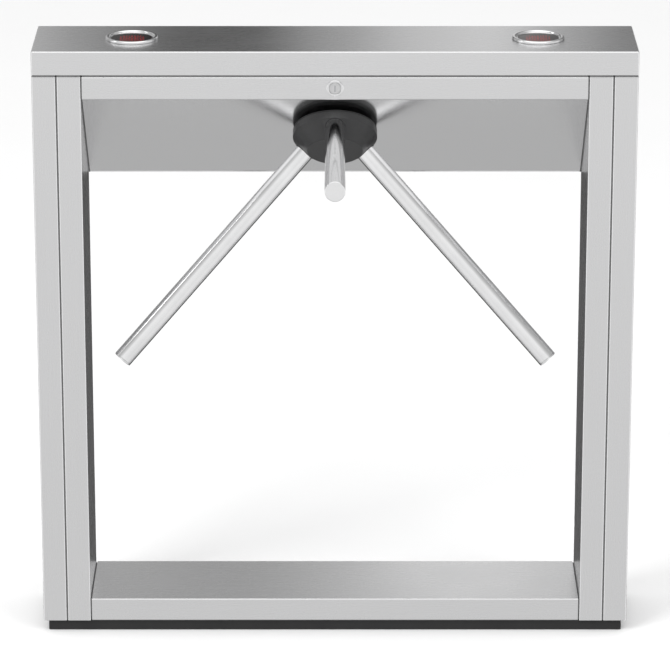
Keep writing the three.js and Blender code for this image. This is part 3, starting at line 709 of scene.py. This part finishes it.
def make_display(side):
    low, high = node_box(f"display_bezel_{side}")
    lens_low, lens_high = node_box(f"display_lens_{side}")
    board_low, board_high = node_box(f"led_board_{side}")
    spot = Matrix.Translation(((low.x + high.x) / 2, 0, 0))
    outer = (high.x - low.x) / 2
    bore = LENS_RADIUS + GAP
    flange = high.z - 4.7
    profile = rounded([
        (bore, low.z), (BEZEL_NECK, low.z), (BEZEL_NECK, flange), (outer, flange, 0.3),
        (outer, high.z, 2.6),
        (outer - 5.6, high.z, 2.6), (bore + 2.6, high.z - 3.1, 1.0), (bore, high.z - 3.1, 0.3),
    ], 8)
    ring = lathe(f"bezel_{side}", profile, spot, 128)
    place(soften(ring, 0, 1), "lid", "chrome", f"display_bezel_{side}")

    radius = (lens_high.x - lens_low.x) / 2
    profile = rounded([(0, lens_low.z), (radius, lens_low.z, 0.3), (radius, lens_high.z - 0.5, 0.5),
                       (radius * 0.6, lens_high.z - 0.12), (0, lens_high.z)], 4)
    lens = lathe(f"lens_{side}", profile, spot, 96)
    place(soften(lens, 0, 1), "lid", "glass", f"display_lens_{side}")

    board = prism(f"led_card_{side}", [circle(radius, 96)], board_low.z, board_high.z, spot)
    place(soften(board, 0.3, 1), "lid", "enamel", f"led_board_{side}")
    lamps = bmesh.new()
    pitch = 4.6
    reach = 4
    bulb, post_radius = 1.25, 1.15
    centre_z = lens_low.z - 1.9
    for i in range(-reach, reach + 1):
        for j in range(-reach, reach + 1):
            if not lamp_lit(i, j):
                continue
            made = bmesh.ops.create_uvsphere(lamps, u_segments=16, v_segments=10, radius=bulb)["verts"]
            bmesh.ops.translate(lamps, verts=made, vec=(i * pitch, j * pitch, centre_z))
            post = bmesh.ops.create_cone(lamps, segments=16, radius1=post_radius, radius2=post_radius,
                                         cap_ends=True, depth=centre_z - board_high.z)["verts"]
            middle = (centre_z + board_high.z) / 2
            bmesh.ops.translate(lamps, verts=post, vec=(i * pitch, j * pitch, middle))
    place(soften(mesh_object(f"leds_{side}", lamps, spot), 0, 1, clean=False), "lid", "led")


def lamp_lit(i, j):
    """A plain dot matrix with its corners left out."""
    return math.hypot(i, j) <= 5.1


# ---- lock


def make_lock():
    low, high = node_box("lock_housing")
    z = (low.z + high.z) / 2
    inwards = Matrix.Translation((0, 0, z)) @ TOWARDS_BACK
    outer = (high.x - low.x) / 2
    bore = 10.1
    profile = rounded([
        (bore, high.y), (bore, low.y, 1.05), (outer, low.y, 1.05), (outer, -90.3), (outer - 1, -90.3),
        (outer - 1, high.y),
    ], 7)
    housing = lathe("lock_ring", profile, inwards, 96)
    place(soften(housing, 0, 1), "cabinet", "ring", "lock_housing")

    low, high = node_box("lock_plug")
    radius = (high.x - low.x) / 2
    face = low.y
    stem, shoulder = 5, -68
    profile = rounded([(0, face), (radius, face, 0.5), (radius, shoulder), (stem, shoulder),
                       (stem, high.y), (0, high.y)], 3)
    plug = lathe("key_plug", profile, inwards, 96)
    tools = [box_mesh("slot", -1.1, 1.1, face - 1, face + 6.5, z - 5.2, z + 5.2)]
    for sign in (-1, 1):
        tools.append(box_mesh("mark", -1.0, 1.0, face - 1, face + 0.5,
                              z + sign * 8.2 - 0.9, z + sign * 8.2 + 0.9))
    recess = lathe("recess", [(6.9, face - 1), (7.6, face - 1), (7.6, face + 0.35), (6.9, face + 0.35)],
                   inwards, 72)
    combine(plug, [*tools, recess])
    soften(plug, 0.15, 1)
    place(grain(plug, UP), "lock_barrel", "satin", "lock_plug")
    shutter = box_mesh("keyway_shutter", -1.05, 1.05, face + 0.5, face + 6.3, z - 5.15, z + 5.15)
    place(soften(shutter, 0.2, 2), "lock_barrel", "machined")


# ---- rotor


def make_hub_front():
    rim = 26.5
    face_radius = 46
    profile = rounded([
        (0, HUB_PARTING), (HUB_RADIUS, HUB_PARTING, 0.7), (HUB_RADIUS, rim, 1.8),
        (face_radius, HUB_FACE, 2.0), (0, HUB_FACE),
    ], 5)
    shell = lathe("rotor_hub", profile, STILL, 144)
    rise = 1.0
    limit_profile = [(0, HUB_PARTING), (HUB_RADIUS, HUB_PARTING), (HUB_RADIUS, rim + rise),
                     (face_radius + rise, HUB_FACE), (0, HUB_FACE)]
    collars = []
    tools = []
    for degrees in ARMS.values():
        turn = arm_in_rotor(degrees)
        collar = prism("collar", [circle(ARM_RADIUS + 2.0, 80)], 40, 110, turn)
        limit = lathe("limit", limit_profile, STILL, 144)
        collars.append(combine(collar, [limit], "INTERSECT"))
        tools.append(prism("arm_hole", [circle(ARM_RADIUS + GAP, 80)], 30, 140, turn))
    combine(shell, collars, "UNION")
    inside = [(0, 0), (66, 0), (66, rim - 2), (43, HUB_FACE - 5), (0, HUB_FACE - 5)]
    tools.append(lathe("cavity", inside, STILL, 96))
    combine(shell, tools)
    soften(shell, 0.6, 3, 24)
    shell.data.transform(in_metres(ROTOR))
    place(shell, "rotor", "hub", "hub_front")


def make_hub_rear():
    profile = rounded([
        (24, HUB_BACK), (62, HUB_BACK, 6), (HUB_RADIUS - 0.6, HUB_BACK + 2.6, 2.5),
        (HUB_RADIUS - 0.1, HUB_PARTING - 1.2, 0.4), (HUB_RADIUS - 1.4, HUB_PARTING - 1.0, 0.2),
        (HUB_RADIUS - 1.4, HUB_PARTING - GAP), (66.3, HUB_PARTING - GAP), (65, HUB_BACK + 3),
        (24, HUB_BACK + 3),
    ], 5)
    back = lathe("rotor_back", profile, ROTOR, 144)
    place(soften(back, 0.2, 2), "rotor", "hub", "hub_rear")


def make_arms():
    for name, degrees in ARMS.items():
        matrix = arm_frame(degrees)
        inner = ARM_RADIUS - ARM_WALL
        end = ARM_LENGTH - ARM_CAP - GAP
        tube = lathe(f"bar_{name}", rounded([
            (inner, ARM_ROOT), (ARM_RADIUS, ARM_ROOT, 0.4), (ARM_RADIUS, end, 0.25), (inner, end),
        ], 3), matrix, 96)
        place(soften(tube, 0, 1), "rotor", "chrome", f"arm_{name}")
        cap = lathe(f"bar_end_{name}", rounded([
            (0, end - 10), (inner - GAP, end - 10), (inner - GAP, end + GAP), (ARM_RADIUS, end + GAP, 0.25),
            (ARM_RADIUS, ARM_LENGTH, 1.1), (0, ARM_LENGTH),
        ], 5), matrix, 96)
        place(soften(cap, 0, 1), "rotor", "chrome", f"arm_cap_{name}")


# ---- the works


def refined(node, body, finish):
    """A copy of a CAD node with rounded edges and smooth shading, in its place."""
    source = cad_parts[node]
    copy = in_scene(f"{node}_detailed", source.data.copy())
    copy.data.transform(source.matrix_world)
    while copy.data.attributes.get("custom_normal"):
        copy.data.attributes.remove(copy.data.attributes["custom_normal"])
    return place(soften(copy, 0.3, 2, 35), body, finish, node)


def gathered(name, pieces, matrix=STILL):
    """Joins mesh objects into one, then moves it by a matrix in millimetres."""
    bm = bmesh.new()
    for piece in pieces:
        bm.from_mesh(piece.data)
        discard(piece)
    bm.transform(in_metres(matrix))
    if matrix.determinant() < 0:
        bmesh.ops.reverse_faces(bm, faces=bm.faces)
    return from_bmesh(name, bm)


def bolts(name, matrix, spots, size=3.4, body="cabinet", finish="zinc"):
    """Hexagon bolts on washers; each spot is (x, y, z) under the washer, heads along +Z."""
    heads = []
    for index, (x, y, z) in enumerate(spots):
        washer = lathe("washer", [(0, 0), (size * 1.55, 0), (size * 1.55, size * 0.3), (0, size * 0.3)],
                       STILL, 32)
        crown = prism("crown", [circle(size * 1.1, 6, 0, 0, 0.4 * index)], size * 0.32, size * 1.1)
        heads.append(gathered("head", [washer, crown], Matrix.Translation((x, y, z))))
    return place(soften(gathered(name, heads, matrix), 0.25, 2, clean=False), body, finish)


def make_bearings():
    """Ball bearings: two rings and the balls, closed by a thin shield."""
    for name, z0 in (("front", -11), ("rear", -46)):
        inner, outer, width = 10.3, 21.0, 12.0
        track = (inner + outer) / 2
        rings = []
        for r0, r1 in ((inner, inner + 3.2), (outer - 3.2, outer)):
            rings.append(lathe("ring", rectangle(r0, r1, z0, z0 + width, 0.5, 3), ROTOR, 72))
        rings = gathered(f"bearing_rings_{name}", rings)
        place(soften(rings, 0, 1), "cabinet", "machined", f"bearing_{name}")
        shield = rectangle(inner + 3.5, outer - 3.5, z0 + 0.8, z0 + 1.4)
        place(soften(lathe(f"bearing_shield_{name}", shield, ROTOR, 72), 0.1, 1), "cabinet", "black")
        balls = bmesh.new()
        for index in range(10):
            angle = 2 * math.pi * index / 10
            ball = bmesh.ops.create_uvsphere(balls, u_segments=20, v_segments=12, radius=3.0)["verts"]
            bmesh.ops.translate(balls, verts=ball,
                                vec=(track * math.cos(angle), track * math.sin(angle), z0 + width / 2))
        balls = mesh_object(f"bearing_balls_{name}", balls, ROTOR)
        place(soften(balls, 0, 1, clean=False), "cabinet", "ring")


def make_solenoids():
    """A folded steel frame round a wound coil, for each pawl."""
    for side, sign in SIDES.items():
        y, z = 10.0, -53.0
        near, far = 78.0, 118.0
        top, foot = z + 15, -13.3
        turned = ROTOR @ Matrix.Diagonal((sign, 1, 1, 1))
        axis = turned @ Matrix.Translation((0, y, z)) @ Matrix.Rotation(math.pi / 2, 4, "Y")
        outline = [
            (near, z - 15), (far, z - 15), (far, top), (far - 3, top), (far - 3, z - 12),
            (near + 3, z - 12), (near + 3, top), (near, top),
        ]
        frame_piece = prism("frame", [rounded([(*p, 0.8) for p in outline], 3)], -y - 18, -y + 18,
                            turned @ ALONG_Y)
        hole = lathe("bore", [(0, near - 5), (5.3, near - 5), (5.3, far - 4), (0, far - 4)], axis, 40)
        combine(frame_piece, [hole])
        bridge = box_mesh("bridge", near, far, y - 18, y + 18, top - 0.2, top + 2.8, turned)
        legs = box_mesh("legs", 84, 112, y - 12, y + 12, top + 2.6, foot, turned)
        folded = gathered(f"solenoid_frame_{side}", [frame_piece, bridge, legs])
        place(soften(folded, 0.3, 2), "cabinet", "zinc", f"solenoid_{side}")
        turns = []
        layers = 22
        for step in range(layers + 1):
            at = near + 5.5 + (far - near - 11) * step / layers
            turns += [(11.6, at - 0.62), (12.1, at - 0.3), (12.1, at + 0.3), (11.6, at + 0.62)]
        coil = lathe(f"solenoid_coil_{side}", [(5.6, near + 4.6), *turns, (5.6, far - 4.6)], axis, 56)
        place(soften(coil, 0, 1, clean=False), "cabinet", "copper")
        cheeks = []
        for at in (near + 3.2, far - 4.5):
            cheek = rounded([(5.6, at), (13.6, at, 0.3), (13.6, at + 1.2, 0.3), (5.6, at + 1.2)], 2)
            cheeks.append(lathe("cheek", cheek, axis, 56))
        place(soften(gathered(f"solenoid_bobbin_{side}", cheeks), 0, 1), "cabinet", "acetal")


def hood_frame():
    """A frame on the hood's outer face; its +Z is the outward normal and it passes through y = 0."""
    slope, height = hood_slope()
    tilt = math.pi / 2 + math.atan2(1, slope)
    return Matrix.Translation((0, 0, height(0))) @ Matrix.Rotation(tilt, 4, "X")


def make_control_board():
    at = hood_frame()
    back = -13.6
    board = box_mesh("board", -390, -230, -60, 40, back, -12, at)
    place(soften(board, 0.2, 1), "cabinet", "board", "control_board")
    posts = [prism("post", [circle(3, 6, x, y)], -12, -2.0, at) for x in (-382, -238) for y in (-52, 32)]
    place(soften(gathered("board_posts", posts), 0.2, 1), "cabinet", "brass")

    def upright(name, x, y, radius, tall):
        profile = rounded([(0, 0), (radius, 0, 0.5), (radius, tall - 1.6, 0.3),
                           (radius - 0.5, tall - 1.2, 0.3), (radius, tall - 0.9, 0.3),
                           (radius, tall, 0.6), (0, tall)], 2)
        down = at @ Matrix.Translation((x, y, back)) @ TURNED_OVER
        return lathe(name, profile, down, 28)

    cans = [upright("can", -368, -16 - 13 * i, 5, 13) for i in range(3)]
    cans += [upright("can", -306 + 14 * i, 8, 4, 9) for i in range(4)]
    place(soften(gathered("board_capacitors", cans), 0, 1), "cabinet", "black")
    chips = [box_mesh("chip", -350, -322, -20, 8, -15.8, back - 0.2, at)]
    chips += [box_mesh("chip", x, x + 16, -18, -8, -15.2, back - 0.2, at) for x in (-300, -278, -256)]
    place(soften(gathered("board_chips", chips), 0.3, 2), "cabinet", "black")
    pins = []
    for step in range(12):
        along = -348.5 + step * 2.25
        pins.append(box_mesh("pin", along, along + 0.9, -22, 10, -14.3, back - 0.05, at))
        y = -18.5 + step * 2.25
        pins.append(box_mesh("pin", -352, -320, y, y + 0.9, -14.3, back - 0.05, at))
    place(soften(gathered("board_pins", pins), 0, 1), "cabinet", "machined")
    relays = [box_mesh("relay", x, x + 18, -52, -26, -29, back - GAP, at) for x in (-300, -277)]
    place(soften(gathered("board_relays", relays), 0.8, 3), "cabinet", "grey")
    plugs = []
    for x in (-375, -345, -315, -285):
        shell = box_mesh("plug", x, x + 22, 24, 38, -23.5, back - 0.1, at)
        ways = (x + 2 + 4.8 * i for i in range(4))
        plugs.append(combine(shell, [box_mesh("way", x0, x0 + 3.6, 27, 35, -25, -18, at) for x0 in ways]))
    place(soften(gathered("board_terminals", plugs), 0.3, 1), "cabinet", "acetal")


def make_power_supply():
    at = hood_frame()
    case = box_mesh("supply_case", 215, 375, -58, 38, -40, -1.8, at)
    slots = []
    for row in range(3):
        for column in range(14):
            x, y = 229 + column * 8, -42 + row * 24
            slots.append(prism("slot", [rectangle(x, x + 4, y, y + 18, 1.9)], -41, -36, at))
    combine(case, [gathered("slots", slots)])
    flange = box_mesh("flange", 374, 385, -57.5, 37.5, -4, -2.0, at)
    combine(case, [flange], "UNION")
    place(soften(gathered("supply_body", [case]), 0.6, 2), "cabinet", "grey", "power_supply")
    inner = box_mesh("supply_works", 217, 373, -56, 36, -35.5, -34.5, at)
    place(soften(inner, 0.2, 1), "cabinet", "black")
    bolts("supply_screws", at @ Matrix.Translation((0, 0, -4)) @ TURNED_OVER,
          [(380, 40, 0), (380, -20, 0)], 2.4)


def make_fixings():
    """Bolts on the mechanism plate and its brackets, and screws in the hinge leaves."""
    behind = ROTOR @ TURNED_OVER
    ring_spots = [(32 * math.cos(a), 32 * math.sin(a), 19)
                  for a in (math.pi / 4 + math.pi / 2 * i for i in range(4))]
    bolts("housing_bolts", behind, ring_spots, 2.6)
    edge_spots = [(x, y, 13) for x in (-122, 122) for y in (-34, 106)]
    bolts("plate_bolts", behind, edge_spots, 3.4)
    for side, sign in SIDES.items():
        low, high = node_box(f"mechanism_bracket_{side}")
        face = high.x if sign > 0 else low.x
        out = Matrix.Translation((face, 0, 0)) @ Matrix.Rotation(sign * math.pi / 2, 4, "Y")
        spots = [(-sign * z, y, 0) for y, z in ((-62, 950), (20, 880), (64, 830))]
        bolts(f"bracket_bolts_{side}", out, spots, 3.0)
    for side in SIDES:
        for leaf, body, up in (("fixed", "cabinet", -16), ("lid", "lid", 16)):
            low, high = node_box(f"hinge_{leaf}_leaf_{side}")
            x = (low.x + high.x) / 2
            z = (high.z if leaf == "fixed" else low.z) + up
            face = low.y + SHEET + 0.02
            for index, dx in enumerate((-21, 0, 21)):
                spot = Matrix.Translation((x + dx, face, z))
                screw(f"{leaf}_leaf_screw_{side}_{index}", spot @ TOWARDS_BACK, 3.4, 1.5, "zinc", body)


def make_works():
    plain = {
        "lock_nut": ("cabinet", "brass"), "lock_cam": ("lock_barrel", "zinc"),
        "lid_striker": ("lid", "zinc"), "arm_carrier": ("rotor", "cast"),
        "main_shaft": ("rotor", "machined"), "bearing_housing": ("cabinet", "cast"),
        "mechanism_plate": ("cabinet", "zinc"), "mechanism_bracket_left": ("cabinet", "zinc"),
        "mechanism_bracket_right": ("cabinet", "zinc"), "lock_disc": ("rotor", "machined"),
        "damper_gear": ("rotor", "acetal"), "damper_pinion": ("damper_drive", "brass"),
        "rotary_damper": ("cabinet", "black"), "encoder_disc": ("rotor", "black"),
        "encoder_sensor": ("cabinet", "black"), "counter_module": ("cabinet", "black"),
    }
    for side in SIDES:
        plain[f"hinge_fixed_leaf_{side}"] = ("cabinet", "machined")
        plain[f"hinge_lid_leaf_{side}"] = ("lid", "machined")
        plain[f"hinge_pin_{side}"] = ("cabinet", "ring")
        plain[f"pawl_{side}"] = (f"{side}_pawl", "machined")
        plain[f"pawl_pin_{side}"] = ("cabinet", "zinc")
        plain[f"plunger_{side}"] = (f"{side}_plunger", "machined")
    for node, (body, finish) in plain.items():
        refined(node, body, finish)


# ---- the studio


def card_material(name, stops, low, high):
    """A glow whose brightness changes along X, from low to high."""
    material = bpy.data.materials.new(name)
    m = Nodes(material)
    place_on_card = m.spread(m.split("Object")["X"], 0, 1, (low, high))
    glow = m.node("ShaderNodeEmission")
    m.link(m.ramp(place_on_card, stops, interpolation="EASE"), glow.inputs["Color"])
    m.link(glow.outputs[0], m.node("ShaderNodeOutputMaterial").inputs[0])
    return material


def flat_sheet(name, corners):
    """Four corners in metres, as one face."""
    mesh = bpy.data.meshes.new(name)
    mesh.from_pydata(corners, [], [(0, 1, 2, 3)])
    return in_scene(name, mesh)


def card(name, corners, stops):
    """A studio card that only shows in reflections, and whose brightness changes along X."""
    made = flat_sheet(name, corners)
    across = [corner[0] for corner in corners]
    made.data.materials.append(card_material(name, stops, min(across), max(across)))
    made.visible_camera = False
    made.visible_diffuse = False
    made.visible_shadow = False
    made.visible_transmission = False


def upright_card(name, y, half, low, high, stops):
    card(name, [(-half, y, low), (half, y, low), (half, y, high), (-half, y, high)], stops)


# Brightness of the studio in reflections: (height of the direction, brightness).
MIDDLE_ZONES = [(-1.0, 0.52), (-0.75, 0.60), (-0.45, 0.66), (-0.34, 0.74), (-0.25, 0.86), (0.3, 0.95),
                (0.6, 0.9), (1.0, 1.1)]
SIDE_ZONES = [(-1.0, 0.55), (-0.65, 0.85), (-0.35, 1.25), (0.1, 1.2), (0.35, 0.5), (1.0, 0.45)]
BEHIND_ZONES = [(-1.0, 0.10), (-0.4, 0.10), (-0.25, 0.16), (0.0, 0.30), (0.3, 0.42), (1.0, 0.42)]


def make_world():
    """Even white light, with a soft studio of brighter and darker zones in the reflections."""
    world = bpy.data.worlds.new("studio")
    m = Nodes(world)
    direction = m.split("Generated")
    middle, sides, behind = (m.ramp(direction["Z"], zones, -1.0)
                             for zones in (MIDDLE_ZONES, SIDE_ZONES, BEHIND_ZONES))
    sideways = m.maths("ABSOLUTE", direction["X"])
    ahead = m.mix(m.ramp(sideways, [(0.35, 0.0), (0.75, 1.0)]), middle, sides)
    depth = m.maths("MULTIPLY_ADD", sideways, 0.4, direction["Y"])
    studio = m.mix(m.ramp(depth, [(0.5, 0.0), (0.7, 1.0)]), ahead, behind)
    glossy = m.node("ShaderNodeLightPath").outputs["Is Glossy Ray"]
    background = m.node("ShaderNodeBackground")
    m.link(m.mix(glossy, (1.0, 1.0, 1.0), studio), background.inputs["Color"])
    m.link(background.outputs[0], m.node("ShaderNodeOutputWorld").inputs[0])
    bpy.context.scene.world = world


def make_studio():
    half = 30
    floor = flat_sheet("floor", [(-half, -half, 0), (half, -half, 0), (half, half, 0), (-half, half, 0)])
    m = Surface("floor_white")
    clouds = m.noise("Object", 3, 3)
    m.set(Base_Color=m.mix(clouds, (0.86, 0.86, 0.86), (0.88, 0.88, 0.88)), Roughness=0.9)
    floor.data.materials.append(m.material)
    floor.visible_glossy = False
    make_world()

    def lamp(name, where, size, power):
        data = bpy.data.lights.new(name, "AREA")
        data.shape = "RECTANGLE"
        data.size, data.size_y = size
        data.energy = power
        made = in_scene(name, data)
        made.location = where
        made.rotation_mode = "QUATERNION"
        made.rotation_quaternion = (Vector((0, 0, 0.6)) - Vector(where)).to_track_quat("-Z", "Y")
        made.visible_glossy = False

    lamp("key", (-3.2, -3.4, 4.2), (2.5, 2.5), 160)
    lamp("fill", (3.5, -3.0, 3.2), (3.0, 3.0), 70)

    upright_card("back_card_high", 1.0, 1.4, 1.06, 2.4,
                 [(0.0, 0.55), (0.28, 0.50), (0.33, 0.30), (0.39, 0.08), (0.44, 0.08), (0.50, 0.34),
                  (0.56, 0.60), (0.61, 0.70), (0.66, 0.38), (0.70, 0.2), (1.0, 0.2)])
    upright_card("back_card_low", 3.0, 1.6, 0.45, 1.6,
                 [(0.0, 0.50), (0.33, 0.45), (0.42, 0.30), (0.50, 0.50), (0.58, 0.95), (0.64, 0.88),
                  (0.70, 0.68), (1.0, 0.50)])
    upright_card("dark_card", 3.2, 2.0, -4.0, 0.55, [(0.0, 0.08), (1.0, 0.08)])
    card("top_card", [(-1.6, -1.6, 2.6), (1.6, -1.6, 2.6), (1.6, 0.2, 2.6), (-1.6, 0.2, 2.6)],
         [(0.0, 1.0), (0.25, 1.7), (0.75, 1.7), (1.0, 1.0)])
    card("left_card", [(-2.7, -0.5, 2.3), (-2.7, 0.3, 2.3), (-2.3, 0.3, 2.8), (-2.3, -0.5, 2.8)],
         [(0.0, 3.0), (1.0, 3.0)])


def make_camera():
    """A long lens in front of the cabinet, in metres, that looks a little down on it."""
    distance, height = 6.59, 2.653
    degrees_down = 18.04
    data = bpy.data.cameras.new("camera")
    data.sensor_width = 36
    data.lens = 218.8
    data.clip_start, data.clip_end = 0.1, 100
    camera = in_scene("camera", data)
    camera.location = (0, -distance, height)
    camera.rotation_euler = (math.radians(90 - degrees_down), 0, 0)
    bpy.context.scene.camera = camera


bpy.context.scene.view_settings.view_transform = "Standard"
bpy.context.scene.view_settings.look = "None"
make_camera()
make_studio()
make_plinth()
for side in SIDES:
    for part in ("outer", "inner"):
        make_tube(f"leg_{part}_panel_{side}", f"leg_{part}_{side}", "Z", SHEET)
make_tube("sill_tube", "base_sill", "X", 2.0)
make_rail()
make_hood()
make_back_cover()
make_seams()
make_lid_seal()
make_lid()
for side in SIDES:
    make_display(side)
make_lock()
make_hub_front()
make_hub_rear()
make_arms()
make_works()
make_bearings()
make_solenoids()
make_control_board()
make_power_supply()
make_fixings()
